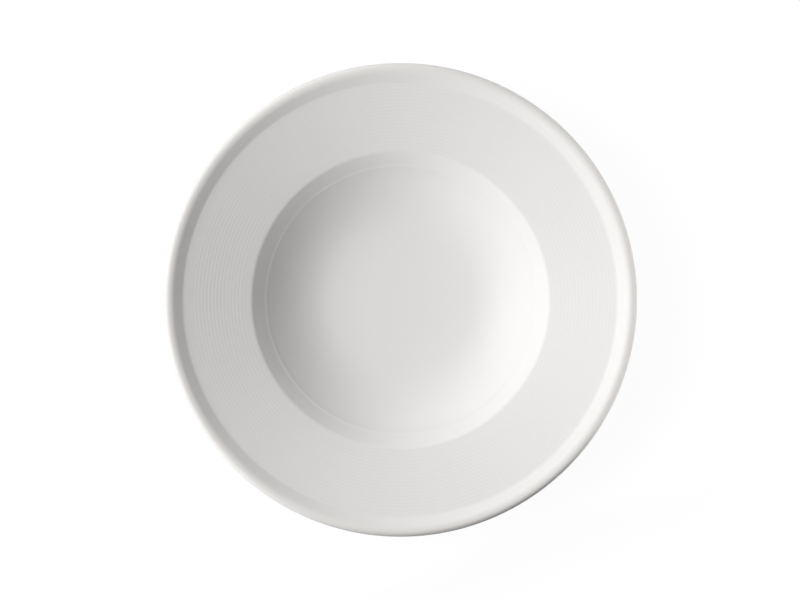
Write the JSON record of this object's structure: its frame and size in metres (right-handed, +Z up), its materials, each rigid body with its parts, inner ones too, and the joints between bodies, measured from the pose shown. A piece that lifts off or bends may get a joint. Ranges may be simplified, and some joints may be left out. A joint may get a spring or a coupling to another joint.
{
  "type": "pasta plate",
  "caption": "Deep round pasta plate in white glazed porcelain: dished well with a straight collar, wide sloping rim with fine concentric ribs, raised rounded lip, foot ring to stand on.",
  "frame": {"origin": "middle of the plate on the plane that the foot ring stands on", "axes": "+Z up along the plate's axis of revolution; X and Y are alike, and +Y is the picture's up direction"},
  "size_m": [0.3, 0.3, 0.0539],
  "materials": {
    "bare_porcelain": "matte",
    "white_glaze": "gloss"
  },
  "bodies": {
    "root": {"porcelain_body": "bare_porcelain", "glaze_coat": "white_glaze", "foot_recess_glaze": "white_glaze"}
  },
  "joints": []
}
